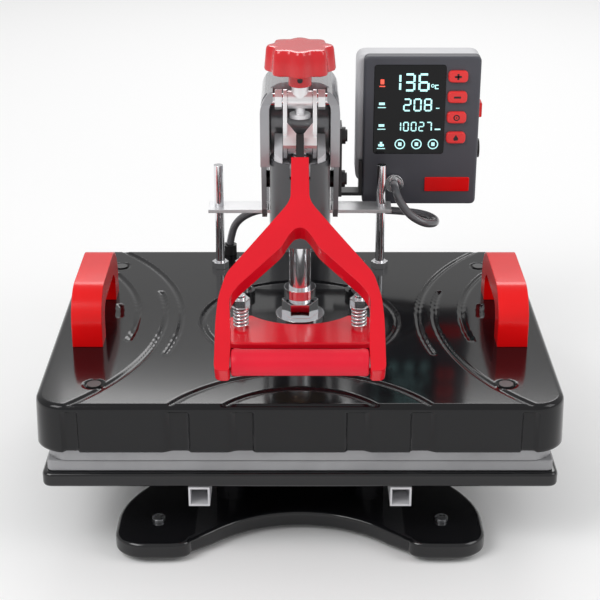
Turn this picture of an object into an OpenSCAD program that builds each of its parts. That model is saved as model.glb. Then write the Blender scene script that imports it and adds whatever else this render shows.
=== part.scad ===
// Swing-arm heat press. A base carries a padded tray. An arm swings on a rear
// post and holds a heated platen, which a hand lever presses down through a
// toggle. Millimetres. The origin is on the floor under the platen's centre,
// +X is to the operator's right, -Y towards the operator and +Z up.

/* [Base] */
// Thickness of the stamped base plate
base_t = 14; // [10:1:16]
// Height of the rubber feet
foot_h = 4; // [3:0.5:6]
// Radius of the post that the arm swings on
post_r = 18; // [15:0.5:20]
// Distance of the swing post behind the platen's centre
post_y = 205; // [203:1:215]

/* [Platen] */
// Width of the heating plate
plate_w = 380; // [360:1:390]
// Depth of the heating plate
plate_d = 290; // [280:1:294]
// Overhang of the cover round the plate
cover_lip = 7.5; // [7:0.5:9]
// Height of the cover
cover_h = 39; // [36:1:39]
// Depth of the grooves pressed into the cover's top
groove_depth = 1.2; // [0.6:0.1:2]
// Thickness of the silicone pad
pad_t = 9; // [6:0.5:9]

/* [Side handles] */
// Distance of each handle's middle from the centre
handle_x = 168; // [160:1:170]
// Width of the handle bar
handle_w = 24; // [20:1:26]
// Height of the handle above the cover
handle_h = 44.5; // [40:0.5:50]

/* [Press head] */
// Height of the lever's pivot
pivot_z = 320; // [320:1:321]
// Crank length, from pivot to crank pin
crank_l = 40; // [39.5:0.5:40.5]
// Toggle link length, from crank pin to shaft pin
link_l = 56; // [55.5:0.5:56.5]
// Radius of the press shaft
shaft_r = 9; // [8:0.5:9]
// Outer radius of the guide tube
tube_r = 23.75; // [23:0.25:24]
// Radius of the pressure knob
knob_r = 27.5; // [25:0.5:28]

/* [Lever] */
// Slope of the lever frame below level, in degrees
lever_slope = 35.5; // [35:0.5:36]
// Thickness of the lever frame
lever_t = 15; // [12:0.5:15]
// Half width across the lever's side bars
lever_half_w = 59.7; // [58:0.1:60]
// Radius of the grip
grip_r = 9.75; // [9:0.25:10]

/* [Control box] */
// Width of the control box
box_w = 101; // [101:1:104]
// Height of the control box
box_h = 134; // [134:1:136]
// Depth of the control box
box_d = 36; // [36:1:44]
// Travel of the buttons
button_travel = 1.5; // [1:0.1:1.5]

/* [Hidden] */
$fn = 48;
gap = 0.4;            // clearance between moving bodies that face each other
run = 0.05;           // radial running clearance
eps = 0.5;            // overrun of a cutting solid

// Heights of the stack
base_z = foot_h;
deck_z = base_z + base_t;
tray_t = 12;
rail = 16;
rail_wall = 1.5;
rail_x = 76;
tray_z = 62;
post_bolt_r = 38;
pad_z = tray_z + tray_t;
plate_z = pad_z + pad_t + gap;
plate_t = 14.6;
cover_z = plate_z + 10.6;
top_z = cover_z + cover_h;
cover_w = plate_w + 2 * cover_lip;
cover_d = plate_d + 2 * cover_lip + 1;
cover_wall = 5;
cover_roof = 4;
cover_r = 24;

// Press head
pin_r = 5;
pin_half = 25;
clevis_r = 4;
crank_z = pivot_z - crank_l;
clevis_z = crank_z - link_l;
shaft_top = clevis_z + 9;
tube_z = 205;
tube_top = 274;
tube_bore = 21.5;
fork_in = 10;
fork_out = 13;
hood_in = 23.8;
hood_out = 31;
hood_top = 331;
hood_wall = 7.5;
hub_z = pivot_z + 11.3;
knob_z = pivot_z + 23;
knob_h = 20;
guide_x = 71;
guide_y = 113;
guide_r = 4;
bar_z = 188.5;
bar_t = 3;
bolt_r = 4;
spring_spots = [[-47, -38], [47, -38], [-47, 40], [47, 40]];
plate_top = top_z + 4;
yoke_t = 6;
spring_h = 18;

// Lever frame: origin of its own plane at the top of the stem
stem_y = -36;
stem_z = 286;
nose_y = stem_y + 14 * cos(lever_slope);
nose_z = stem_z + 14 * sin(lever_slope);
grip_u = 178;
tang_drop = 5;        // the stem starts this far down its plane

// Control box
box_x = 55;
box_y = 131;
box_z = 186;
box_split = box_y + box_d / 2;
box_wall = 3;
screen_w = 62;
screen_h = 80;
screen_x = 95;
screen_z = 273;
button_x = 136;
button_z = 303;
button_pitch = 18.2;
gland_x = 83;
gland_z = 207;
badge_x = 130;
badge_z = 205;
switch_z = 267;
inlet_z = 230;

// Heater lead, by hand: gland, loop under the box, behind the arm, cover
lead_r = 3.5;
lead_route = [
  [83, 127, 207], [83.5, 112, 205.5], [87.5, 100, 199], [96, 92.5, 190],
  [107.5, 93, 183], [117, 101.5, 179.3], [119, 114, 178],
  [112, 125.5, 178], [98, 133, 178], [70, 139, 178], [40, 142, 178],
  [0, 143, 178], [-30, 140.5, 178], [-48, 140.5, 172.5], [-59, 143, 161],
  [-64, 146, 142]];

// ---- Helpers ----

// Points of an arc about [cx, cy], from angle a to b in n steps
function arc(cx, cy, r, a, b, n = 8) =
  [for (i = [0:n]) let (t = a + (b - a) * i / n)
    [cx + r * cos(t), cy + r * sin(t)]];

// Rectangle with round corners, centred
module round_rect(w, d, r) {
  x = w / 2 - r;
  y = d / 2 - r;
  polygon(concat(arc(x, y, r, 0, 90), arc(-x, y, r, 90, 180),
    arc(-x, -y, r, 180, 270), arc(x, -y, r, 270, 360)));
}

module mirrored() {
  children();
  mirror([1, 0, 0]) children();
}

// Cylinder along X between x0 and x1, in the Y-Z plane at y, z
module x_bar(r, x0, x1, y, z, fn = 48) {
  translate([x0, y, z]) rotate([0, 90, 0])
    cylinder(r = r, h = x1 - x0, $fn = fn);
}

// Cylinder along Y between y0 and y1
module y_bar(r, y0, y1, x, z) {
  translate([x, y1, z]) rotate([90, 0, 0]) cylinder(r = r, h = y1 - y0);
}

// Outline in the Y-Z plane, extruded from x0 to x1
module side_slab(x0, x1) {
  translate([x0, 0, 0]) rotate([90, 0, 90])
    linear_extrude(x1 - x0) children();
}

module hex_nut(r, h, bore) {
  difference() {
    cylinder(r = r, h = h, $fn = 6);
    translate([0, 0, -eps]) cylinder(r = bore, h = h + 2 * eps);
  }
}

// Catmull-Rom point on a route, between points i and i + 1
function on_route(p, i, t) =
  let (n = len(p) - 1, a = p[max(i - 1, 0)], b = p[i], c = p[i + 1],
    d = p[min(i + 2, n)])
  0.5 * (2 * b + (c - a) * t + (2 * a - 5 * b + 4 * c - d) * t * t
    + (3 * b - a - 3 * c + d) * t * t * t);

function smooth_route(p, steps) = concat(
  [for (i = [0:len(p) - 2], k = [0:steps - 1]) on_route(p, i, k / steps)],
  [p[len(p) - 1]]);

function unit(v) = v / norm(v);

// Closed tube of radius r with the given number of sides along a path.
// ref is any direction that the path never runs along.
module tube_along(path, r, sides, ref) {
  n = len(path);
  rings = [for (i = [0:n - 1])
    let (t = unit(path[min(i + 1, n - 1)] - path[max(i - 1, 0)]),
      u = unit(cross(t, ref)), v = cross(t, u))
    for (k = [0:sides - 1]) let (a = 360 * k / sides)
      path[i] + r * (cos(a) * u + sin(a) * v)];
  walls = [for (i = [0:n - 2], k = [0:sides - 1])
    let (k2 = (k + 1) % sides, a = i * sides, b = a + sides)
    [[a + k, a + k2, b + k2], [a + k, b + k2, b + k]]];
  faces = concat([for (w = walls) w[0]], [for (w = walls) w[1]],
    [[for (k = [sides - 1:-1:0]) k]],
    [[for (k = [0:sides - 1]) (n - 1) * sides + k]]);
  polyhedron(points = rings, faces = [for (f = faces)
    [for (k = [len(f) - 1:-1:0]) f[k]]]);
}

// ---- Base ----

foot_spots = [[-110, -124], [110, -124], [-58, 228], [58, 228], [0, 0]];

module base_outline() {
  half = concat(arc(0, -208.7, 96.7, 90, 46, 10),
    [[84, -155], [95, -159], [127, -159], [142, -147], [142, -105],
     [126, -72], [70, -20], [60, 60], [78, 150], [78, 252], [0, 252]]);
  offset(r = 6) offset(delta = -6) mirrored() polygon(half);
}

module base_plate() {
  color("#141416") difference() {
    translate([0, 0, base_z]) linear_extrude(base_t) base_outline();
    for (p = foot_spots)
      translate([p[0], p[1], 0]) cylinder(r = 3, h = deck_z + eps);
    post_holes();
  }
}

module post_holes() {
  for (a = [45:90:315]) translate([0, post_y, 0]) rotate([0, 0, a])
    translate([post_bolt_r, 0, 0]) cylinder(r = bolt_r + run, h = deck_z + 20);
}

module rubber_feet() {
  color("#202022") for (p = foot_spots)
    translate([p[0], p[1], 0]) cylinder(r = 12, h = foot_h);
}

module foot_screws() {
  color("silver") for (p = foot_spots) translate([p[0], p[1], 0]) {
    translate([0, 0, base_z]) cylinder(r = 3 - run, h = base_t);
    translate([0, 0, deck_z]) cylinder(r = 5, h = 2.5);
  }
}

module swing_post() {
  color("#b8b8bc") difference() {
    union() {
      translate([0, post_y, deck_z]) cylinder(r = post_bolt_r + 8.5, h = 8);
      translate([0, post_y, deck_z]) cylinder(r = post_r, h = 178);
    }
    post_holes();
  }
}

module post_bolts() {
  color("silver") for (a = [45:90:315])
    translate([0, post_y, 0]) rotate([0, 0, a]) translate([post_bolt_r, 0, 0]) {
      translate([0, 0, base_z]) cylinder(r = bolt_r, h = base_t + 8);
      translate([0, 0, deck_z + 8]) cylinder(r = 7, h = 5, $fn = 6);
    }
}

module tray_posts() {
  color("#18181a") for (x = [-55, 55], y = [-83, 83])
    translate([x, y, deck_z]) cylinder(r = 12, h = tray_z - deck_z);
}

module tray_rails() {
  color("#b9bbbe") mirrored() difference() {
    translate([rail_x - rail / 2, -149, tray_z - rail])
      cube([rail, 298, rail]);
    translate([rail_x - rail / 2 + rail_wall, -150, tray_z - rail + rail_wall])
      cube([rail - 2 * rail_wall, 300, rail - 2 * rail_wall]);
  }
}

module lower_tray() {
  color("#141416") translate([0, 0, tray_z]) linear_extrude(tray_t)
    round_rect(plate_w + 8, plate_d + 8, 8);
}

module silicone_pad() {
  color("#9b9ca0") translate([0, 0, pad_z]) linear_extrude(pad_t)
    round_rect(plate_w, plate_d, 5);
}

// ---- Arm ----

module column_sleeve() {
  color("#77797f") translate([0, post_y, deck_z + 8 + gap]) difference() {
    cylinder(r = 29, h = 200 - deck_z - 8 - gap);
    translate([0, 0, -eps]) cylinder(r = post_r + run, h = 200);
  }
}

arm_profile = [[10, 212], [10, 268], [22, 300], [36, 313], [84, 313],
  [180, 296], [226, 270], [238, 246], [238, 200], [170, 200], [140, 206],
  [70, 206]];
arm_hollow = [[30, 190], [30, 266], [34, 297], [42, 308], [84, 308],
  [178, 291], [222, 266], [233, 245], [233, 190]];

module arm_shell() {
  color("#77797f") difference() {
    side_slab(-hood_in + 0.1, hood_in - 0.1) polygon(arm_profile);
    side_slab(-19.5, 19.5) polygon(arm_hollow);
    cylinder(r = tube_r + run, h = 400);
    frame_bolt_holes();
  }
}

// Outline of the hood, an inverted U with round shoulders
module hood_outline(half_w, top, r) {
  polygon(concat([[half_w, 250]], arc(half_w - r, top - r, r, 0, 90),
    arc(r - half_w, top - r, r, 90, 180), [[-half_w, 250]]));
}

// Hood: an arch over the arm, with ears that reach forward to the pivot pin
module head_hood() {
  color("#8b8d92") difference() {
    intersection() {
      translate([0, 90, 0]) rotate([90, 0, 0]) linear_extrude(120)
        hood_outline(hood_out, hood_top, 20);
      union() {
        side_slab(-40, 40) polygon([[10, 268], [10, hood_top + 1],
          [64, hood_top + 1], [84, 268]]);
        mirrored() side_slab(21, 40) polygon([[-9, 268], [-9, 318],
          [-4, 327], [11, 327], [11, 268]]);
      }
    }
    translate([0, 100, 0]) rotate([90, 0, 0]) linear_extrude(140)
      hood_outline(hood_in, hood_top - hood_wall, 10);
    x_bar(pin_r + run, -40, 40, 0, pivot_z);
    frame_bolt_holes();
  }
}

frame_bolt_spots = [[45, 277], [45, 240]];

module frame_bolt_holes() {
  for (p = frame_bolt_spots) x_bar(bolt_r + run, -50, 50, p[0], p[1]);
}

module side_plates() {
  color("#8b8d92") mirrored() difference() {
    side_slab(27, hood_out) polygon([[12, 268], [78, 268], [124, 218],
      [124, bar_z + bar_t], [102, bar_z + bar_t], [88, 204], [30, 212],
      [20, 222]]);
    frame_bolt_holes();
  }
}

// Bolts through the arm: flush on the left, round heads on the right, where
// they clamp the box bracket, and a spacer inside each side plate
module frame_bolts() {
  color("#1c1c1e") for (p = frame_bolt_spots) {
    x_bar(bolt_r, -hood_out, -17, p[0], p[1]);
    x_bar(bolt_r, 17, hood_out + 3, p[0], p[1]);
    x_bar(7, hood_out + 3, hood_out + 6, p[0], p[1]);
    x_bar(5, hood_out + 6, hood_out + 7.5, p[0], p[1]);
  }
  color("#1c1c1e") mirrored() difference() {
    x_bar(7, hood_in - 0.1, 27, frame_bolt_spots[1][0], frame_bolt_spots[1][1]);
    x_bar(bolt_r + run, 20, 30, frame_bolt_spots[1][0],
      frame_bolt_spots[1][1]);
  }
}

module guide_tube() {
  color("#4b4d52") difference() {
    translate([0, 0, tube_z]) cylinder(r = tube_r, h = tube_top - tube_z);
    translate([0, 0, tube_z - eps]) cylinder(r = tube_bore, h = 80);
    translate([-8, -30, tube_top - 12]) cube([16, 30, 20]);
  }
}

module shaft_bush() {
  color("#b08d57") translate([0, 0, tube_z]) difference() {
    cylinder(r = tube_bore, h = 17);
    translate([0, 0, -eps]) cylinder(r = shaft_r + run, h = 20);
  }
}

// Cap: a floor inside the tube's mouth and two cheeks above it, either side
// of the slot where the toggle moves
module tube_cap() {
  slot = fork_out + 0.6;
  floor_z = tube_top - 4;
  color("#c6c7ca") difference() {
    union() {
      translate([0, 0, floor_z - 6]) cylinder(r = tube_bore - run, h = 10);
      intersection() {
        translate([0, 0, tube_top]) cylinder(r = tube_r - 0.75, h = 30);
        side_slab(-20, 20) polygon([[-24, tube_top - eps],
          [-24, tube_top + 1], [9, tube_top + 16], [9, tube_top - eps]]);
      }
    }
    translate([-slot, -40, floor_z]) cube([2 * slot, 80, 60]);
    translate([0, 0, floor_z - 10]) cylinder(r = shaft_r + 0.5, h = 30);
    translate([-5.7, -40, floor_z - 10]) cube([11.4, 40, 30]);
  }
}

module guide_bar() {
  color("#c9cacd") difference() {
    translate([-80, guide_y - 11, bar_z]) cube([160, 22, bar_t]);
    for (x = [-guide_x, guide_x]) translate([x, guide_y, bar_z - eps])
      cylinder(r = guide_r + run, h = bar_t + 2 * eps);
  }
}

// Round block on the pivot pin; the knob's screw enters it from above and a
// disc hangs below it
module pivot_block() {
  color("#a5a6aa") difference() {
    union() {
      x_bar(7, gap - fork_in, fork_in - gap, 0, pivot_z);
      translate([0, 0, pivot_z]) cylinder(r = 6.5, h = 11);
      translate([0, 0, pivot_z - 12]) cylinder(r = 4, h = 12);
      translate([0, 0, pivot_z - 14]) cylinder(r = 8.2, h = 3);
    }
    x_bar(pin_r + run, -20, 20, 0, pivot_z);
    translate([0, 0, pivot_z + pin_r + 0.3]) cylinder(r = 4 + run, h = 20);
  }
}

module pivot_pin() {
  color("silver") x_bar(pin_r, -pin_half, pin_half, 0, pivot_z);
}

module pivot_nuts() {
  color("silver") for (x = [-19.5, 14]) difference() {
    x_bar(8, x, x + 5.5, 0, pivot_z, 6);
    x_bar(pin_r + run, x - 1, x + 7, 0, pivot_z);
  }
}

// Plate on the arm's right side, a step to the box and a tab on its side
module box_bracket() {
  color("#26262a") difference() {
    union() {
      side_slab(hood_out, hood_out + 3) polygon([[34, 286], [58, 286],
        [150, 216], [150, 193.5], [box_y + 2, 193.5], [34, 228]]);
      translate([hood_out + 2, box_y + 2, 193.5])
        cube([box_x - hood_out - 2, 15, 3]);
      translate([box_x - 3, box_y + 2, 193.5]) cube([3, 15, 32]);
    }
    frame_bolt_holes();
  }
}

// ---- Control box ----

module box_slab(w, h, y0, y1, r) {
  translate([box_x + box_w / 2, y1, box_z + box_h / 2])
    rotate([90, 0, 0]) linear_extrude(y1 - y0) round_rect(w, h, r);
}

module control_box_front() {
  color("#55565c") difference() {
    box_slab(box_w, box_h, box_y, box_split, 5);
    box_slab(box_w - 2 * box_wall, box_h - 2 * box_wall, box_y + box_wall,
      box_split + eps, 3);
    translate([screen_x - screen_w / 2, box_y - eps, screen_z - screen_h / 2])
      cube([screen_w, 10, screen_h]);
    for (i = [0:3]) translate([button_x - 9, box_y - eps,
      button_z - i * button_pitch - 5.6]) cube([18, 10, 11.2]);
    y_bar(6 + run, box_y - eps, box_y + 10, gland_x, gland_z);
    translate([badge_x - 19.8, box_y - eps, badge_z - 6.6])
      cube([39.6, 1 + eps, 13.2]);
  }
}

module control_box_rear() {
  right = box_x + box_w;
  color("#55565c") difference() {
    translate([box_x - 6, box_split, box_z + 18])
      cube([box_w + 7, box_d / 2, box_h - 18]);
    translate([box_x - 3, box_split - eps, box_z + 21])
      cube([box_w + 1, box_d / 2 - box_wall + eps, box_h - 24]);
    translate([right - 6, box_split + 2, switch_z - 7.6]) cube([20, 13.4, 15.2]);
    x_bar(7 + run, right - 6, right + 20, box_split + 9, inlet_z);
  }
}

module circuit_board() {
  color("#1c5a34") translate([62, box_y + 10, 224]) cube([88, 1.6, 90]);
}

module display_window() {
  color("#060608") translate([screen_x - screen_w / 2, box_y,
    screen_z - screen_h / 2]) cube([screen_w, 3, screen_h]);
}

module badge() {
  color("#d8202c") translate([badge_x - 19.75, box_y - 0.5, badge_z - 6.5])
    cube([39.5, 1.5, 13]);
}

module button(i) {
  color("#e02030") translate([button_x - 8.5, box_y - 2.5,
    button_z - i * button_pitch - 5.15]) cube([17, 11.6 - button_travel, 10.3]);
}

module button_plus() { button(0); }
module button_minus() { button(1); }
module button_set() { button(2); }
module button_mode() { button(3); }

module power_switch() {
  right = box_x + box_w;
  color("#f04a20") intersection() {
    translate([right - 4, box_split + 2.2, switch_z - 6.5])
      cube([8.5, 13, 13]);
    y_bar(7.4, box_split, box_split + 20, right, switch_z);
  }
}

module power_inlet() {
  right = box_x + box_w;
  y = box_split + 9;
  color("#9a9ba0") difference() {
    union() {
      x_bar(7, right - 4, right + 1, y, inlet_z);
      x_bar(8.5, right + 1, right + 4, y, inlet_z);
    }
    x_bar(5, right, right + 8, y, inlet_z);
  }
}

module cable_gland() {
  color("silver") difference() {
    union() {
      y_bar(6, box_y - 0.1, box_y + 8, gland_x, gland_z);
      y_bar(8.25, box_y - 5, box_y, gland_x, gland_z);
    }
    y_bar(lead_r + 0.2, box_y - 6, box_y + 10, gland_x, gland_z);
  }
}

// ---- Heater ----

module heating_plate() {
  color("#c2c3c6") translate([0, 0, plate_z]) linear_extrude(plate_t)
    round_rect(plate_w, plate_d, cover_r - 7);
}

module insulation_board() {
  color("#d8d2c0") translate([0, 0, plate_z + plate_t]) linear_extrude(12)
    round_rect(plate_w - 10, plate_d - 10, 6);
}

// Groove in the cover's top: an arc of radius r about [cx, cy] cut to a window
module groove(cx, cy, r, x0, y0, x1, y1) {
  width = 3.5;
  intersection() {
    translate([cx, cy, top_z - groove_depth]) difference() {
      cylinder(r = r + width / 2, h = 5, $fn = 96);
      translate([0, 0, -1]) cylinder(r = r - width / 2, h = 8, $fn = 96);
    }
    translate([x0, y0, top_z - 5]) cube([x1 - x0, y1 - y0, 10]);
  }
}

screw_spots = [[-160, 115], [160, 115], [-155, -117], [155, -117]];

module heater_cover() {
  side_cx = -323;
  color("#161618") difference() {
    translate([0, 0, cover_z]) linear_extrude(cover_h)
      round_rect(cover_w, cover_d, cover_r);
    translate([0, 0, cover_z - eps])
      linear_extrude(cover_h - cover_roof + eps)
        round_rect(cover_w - 2 * cover_wall, cover_d - 2 * cover_wall,
          cover_r - cover_wall);
    // Grooves of the top
    mirrored() {
      groove(side_cx, -7, 225.7, -170, -65, -90, 160);
      groove(side_cx, -3, 212, -170, -160, -90, 57);
      groove(side_cx, -3, 189.3, -170, -41, -120, 98);
      groove(side_cx, -3, 174, -170, 4, -120, 30);
    }
    groove(0, -212, 113.7, -110, -160, 110, -90);
    groove(0, -195, 70.5, -70, -160, 70, -110);
    groove(0, 0, 80, -90, -90, 90, 90);
    // Recessed bays of the front, rear and sides
    mirrored() for (y = [-cover_d / 2, cover_d / 2]) {
      translate([164, y - 2, cover_z - 1]) cube([15, 4, cover_h - 3]);
      translate([82, y - 2, cover_z - 1]) cube([12, 4, cover_h - 3]);
      translate([34, y - 2, cover_z - 1]) cube([12, 4, cover_h - 3]);
    }
    mirrored() for (y = [-100, -37, 37, 100])
      translate([cover_w / 2 - 2, y - 8, cover_z - 1])
        cube([4, 16, cover_h - 3]);
    for (p = screw_spots) translate([p[0], p[1], top_z - 2])
      cylinder(r = 7, h = 5);
    for (p = screw_spots) translate([p[0], p[1], top_z - 10])
      cylinder(r = 3 + run, h = 20);
    handle_holes();
    rod_holes();
  }
}

module rod_holes() {
  for (x = [-guide_x, guide_x]) translate([x, guide_y, top_z - 10])
    cylinder(r = guide_r + run, h = 30);
}

module cover_screws() {
  color("#303034") for (p = screw_spots) translate([p[0], p[1], top_z]) {
    translate([0, 0, -12]) cylinder(r = 3, h = 10);
    translate([0, 0, -2]) cylinder(r = 5.5, h = 2.4);
  }
}

leg_spots = [-43, 50];

module handle_holes() {
  for (x = [-handle_x, handle_x], y = leg_spots)
    translate([x, y, top_z - 6]) cylinder(r = 3 + run, h = 20);
}

module side_handles() {
  h = top_z + handle_h;
  color("#d21018") difference() {
    mirrored() side_slab(handle_x - handle_w / 2, handle_x + handle_w / 2)
      difference() {
        polygon([[-53, top_z], [-53, h - 16], [-36, h], [44, h],
          [60, h - 16], [60, top_z]]);
        polygon(concat([[-33, top_z - 1]], arc(-25, h - 25, 8, 180, 90),
          arc(32, h - 25, 8, 90, 0), [[40, top_z - 1]]));
      }
    handle_holes();
  }
}

module handle_screws() {
  color("silver") for (x = [-handle_x, handle_x], y = leg_spots)
    translate([x, y, top_z]) {
      translate([0, 0, -cover_roof]) cylinder(r = 3, h = 18);
      translate([0, 0, -cover_roof - 3]) cylinder(r = 6, h = 3);
    }
}

module spring_holes() {
  for (p = spring_spots) translate([p[0], p[1], top_z - eps])
    cylinder(r = bolt_r + run, h = 20);
}

module pressure_plate() {
  color("#1a1a1c") difference() {
    union() {
      translate([0, 2, top_z]) linear_extrude(plate_top - top_z)
        round_rect(124, 106, 14);
      for (p = [spring_spots[2], spring_spots[3]])
        translate([p[0], p[1], plate_top - 1]) cylinder(r = 9, h = yoke_t + 1);
    }
    spring_holes();
  }
}

// Crescent over the two front springs, hollowed towards the shaft
module spring_yoke() {
  outline = concat(arc(-50, -24, 10, 180, 90, 6), arc(0, 22, 52, 222, 318, 12),
    arc(50, -24, 10, 90, 0, 6), arc(48, -54, 12, 0, -90, 6),
    arc(-48, -54, 12, 270, 180, 6));
  color("#d21018") difference() {
    translate([0, 0, plate_top]) linear_extrude(yoke_t) polygon(outline);
    spring_holes();
  }
}

module spring_bolts() {
  foot = plate_top + yoke_t;
  color("silver") for (p = spring_spots) translate([p[0], p[1], 0]) {
    translate([0, 0, top_z]) cylinder(r = bolt_r, h = 39);
    translate([0, 0, foot + spring_h]) difference() {
      cylinder(r = 7.5, h = 1.5);
      translate([0, 0, -1]) cylinder(r = bolt_r, h = 4);
    }
    translate([0, 0, foot + spring_h + 1.5]) hex_nut(7.5, 6.5, bolt_r);
  }
}

// Each spring is a coil standing on the yoke or on a boss
module springs() {
  turns = 5;
  wire = 1;
  steps = 14;
  rise = spring_h - 2 * wire - 0.2;
  n = turns * steps;
  foot = plate_top + yoke_t + wire + 0.1;
  path = [for (i = [0:n]) [5.4 * cos(360 * i / steps),
    5.4 * sin(360 * i / steps), foot + rise * i / n]];
  color("silver") for (p = spring_spots) translate([p[0], p[1], 0])
    tube_along(path, wire, 6, [0, 0, 1]);
}

module press_shaft() {
  color("silver") difference() {
    translate([0, 0, plate_top]) cylinder(r = shaft_r, h = shaft_top - plate_top);
    translate([-5.3, -20, clevis_z - 10]) cube([10.6, 40, 30]);
    x_bar(clevis_r + run, -20, 20, 0, clevis_z);
  }
}

// Washer and nut at the shaft's foot, and the stop collar above them
module shaft_nut() {
  color("silver") {
    translate([0, 0, plate_top]) ring(20, 2.5);
    translate([0, 0, plate_top + 2.5]) hex_nut(15, 12, shaft_r + run);
    translate([0, 0, 155]) ring(13, 8);
  }
}

module ring(r, h) {
  difference() {
    cylinder(r = r, h = h);
    translate([0, 0, -1]) cylinder(r = shaft_r + run, h = h + 2);
  }
}

module clevis_pin() {
  color("silver") x_bar(clevis_r, -8, 8, 0, clevis_z);
}

module guide_rods() {
  color("silver") for (x = [-guide_x, guide_x])
    translate([x, guide_y, top_z - cover_roof - 8])
      cylinder(r = guide_r, h = 229 - top_z + cover_roof + 8);
}

module guide_rod_nuts() {
  color("silver") for (x = [-guide_x, guide_x], z = [top_z, top_z - cover_roof - 6])
    translate([x, guide_y, z]) hex_nut(7.5, 6, guide_r + run);
}

module lead_strain_relief() {
  color("#26262a") translate([-64, 146, top_z]) difference() {
    cylinder(r = 6.2, h = 9);
    translate([0, 0, 2]) cylinder(r = lead_r + 0.2, h = 10);
  }
}

module heater_lead() {
  color("#6e6f74") tube_along(smooth_route(lead_route, 5), lead_r, 10,
    [0.2, 0.6, 0.8]);
}

// ---- Lever, link and knob ----

module in_lever_plane() {
  translate([0, stem_y, stem_z]) rotate([lever_slope, 0, 0]) children();
}

lever_outer = [[6.6, -tang_drop], [7, -43.5], [10, -50], [53, -109], [56, -120],
  [58.3, -129.4], [lever_half_w, -147], [lever_half_w, -182],
  [lever_half_w - 5, -188.6], [49, -188.6]];
lever_inner = [[0, -70], [4, -71], [8.5, -77], [13, -86.5], [44.6, -120],
  [50.4, -129.4], [48.4, -166], [49, -189.6], [0, -189.6]];

module lever_frame() {
  color("#d70f23") in_lever_plane() difference() {
    translate([0, 0, -lever_t / 2]) linear_extrude(lever_t) mirrored()
      difference() {
        polygon(concat([[0, -tang_drop]], lever_outer, [[0, -188.6]]));
        polygon(lever_inner);
      }
    x_bar(bolt_r + run, -70, 70, -grip_u, 0);
  }
}

module lever_grip() {
  color("#dc2337") in_lever_plane() difference() {
    x_bar(grip_r, -48.3, 48.3, -grip_u, 0);
    x_bar(bolt_r + run, -60, 60, -grip_u, 0);
  }
}

module grip_rod() {
  color("silver") in_lever_plane()
    x_bar(bolt_r, -lever_half_w, lever_half_w, -grip_u, 0);
}

module lever_tang() {
  color("#161618") in_lever_plane()
    translate([-3, -tang_drop, 0]) cube([6, 17 + tang_drop, 5]);
}

// Two plates on the pivot pin that carry the crank pin and meet at a nose
module lever_fork() {
  nose = [nose_y + 7, nose_z + 5];
  color("silver") difference() {
    union() {
      mirrored() side_slab(fork_in, fork_out) hull() {
        translate([0, pivot_z]) circle(8, $fn = 32);
        translate([0, crank_z]) circle(7.5, $fn = 32);
        translate(nose) circle(4, $fn = 32);
      }
      in_lever_plane() translate([0, 0, -4]) linear_extrude(4)
        polygon([[-fork_out, 32], [-fork_out, 10], [fork_out, 10],
          [fork_out, 32], [fork_in, 32], [0, 17], [-fork_in, 32]]);
    }
    x_bar(pin_r + run, -40, 40, 0, pivot_z);
  }
}

module toggle_link() {
  color("#8f9095") difference() {
    union() {
      x_bar(7.5, -5, 5, 0, clevis_z);
      x_bar(7.5, -5, 5, 0, crank_z);
      translate([-5, -6.5, clevis_z]) cube([10, 13, link_l]);
    }
    x_bar(clevis_r + run, -10, 10, 0, clevis_z);
    x_bar(pin_r, -10, 10, 0, crank_z);
  }
}

module crank_pin() {
  color("silver") x_bar(pin_r, gap - fork_in, fork_in - gap, 0, crank_z);
}

module pressure_knob() {
  lobes = 8;
  color("#dc1e23") difference() {
    union() {
      translate([0, 0, hub_z]) cylinder(r = shaft_r, h = knob_z - hub_z);
      translate([0, 0, knob_z]) linear_extrude(knob_h) polygon([
        for (a = [0:4:356]) (knob_r - 1.6 + 1.6 * cos(lobes * a))
          * [cos(a), sin(a)]]);
    }
    translate([0, 0, hub_z - 1]) cylinder(r = 4 + run, h = 20);
    y_bar(2, -20, -3, 0, hub_z + 6);
  }
}

module adjusting_screw() {
  color("#303034") translate([0, 0, pivot_z + pin_r + 0.6])
    cylinder(r = 4, h = 24);
}

base_plate();
rubber_feet();
foot_screws();
swing_post();
post_bolts();
tray_posts();
tray_rails();
lower_tray();
silicone_pad();
column_sleeve();
arm_shell();
head_hood();
side_plates();
frame_bolts();
guide_tube();
shaft_bush();
tube_cap();
guide_bar();
pivot_block();
pivot_pin();
pivot_nuts();
box_bracket();
control_box_front();
control_box_rear();
circuit_board();
display_window();
badge();
cable_gland();
power_inlet();
heating_plate();
insulation_board();
heater_cover();
cover_screws();
side_handles();
handle_screws();
pressure_plate();
spring_yoke();
spring_bolts();
springs();
press_shaft();
shaft_nut();
clevis_pin();
guide_rods();
guide_rod_nuts();
lead_strain_relief();
heater_lead();
lever_frame();
lever_grip();
grip_rod();
lever_fork();
lever_tang();
toggle_link();
crank_pin();
pressure_knob();
adjusting_screw();
button_plus();
button_minus();
button_set();
button_mode();
power_switch();
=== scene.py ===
"""Looks of the swing-arm heat press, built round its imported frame.

Lengths are in metres; mm() turns millimetres into metres.
"""

import math

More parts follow.
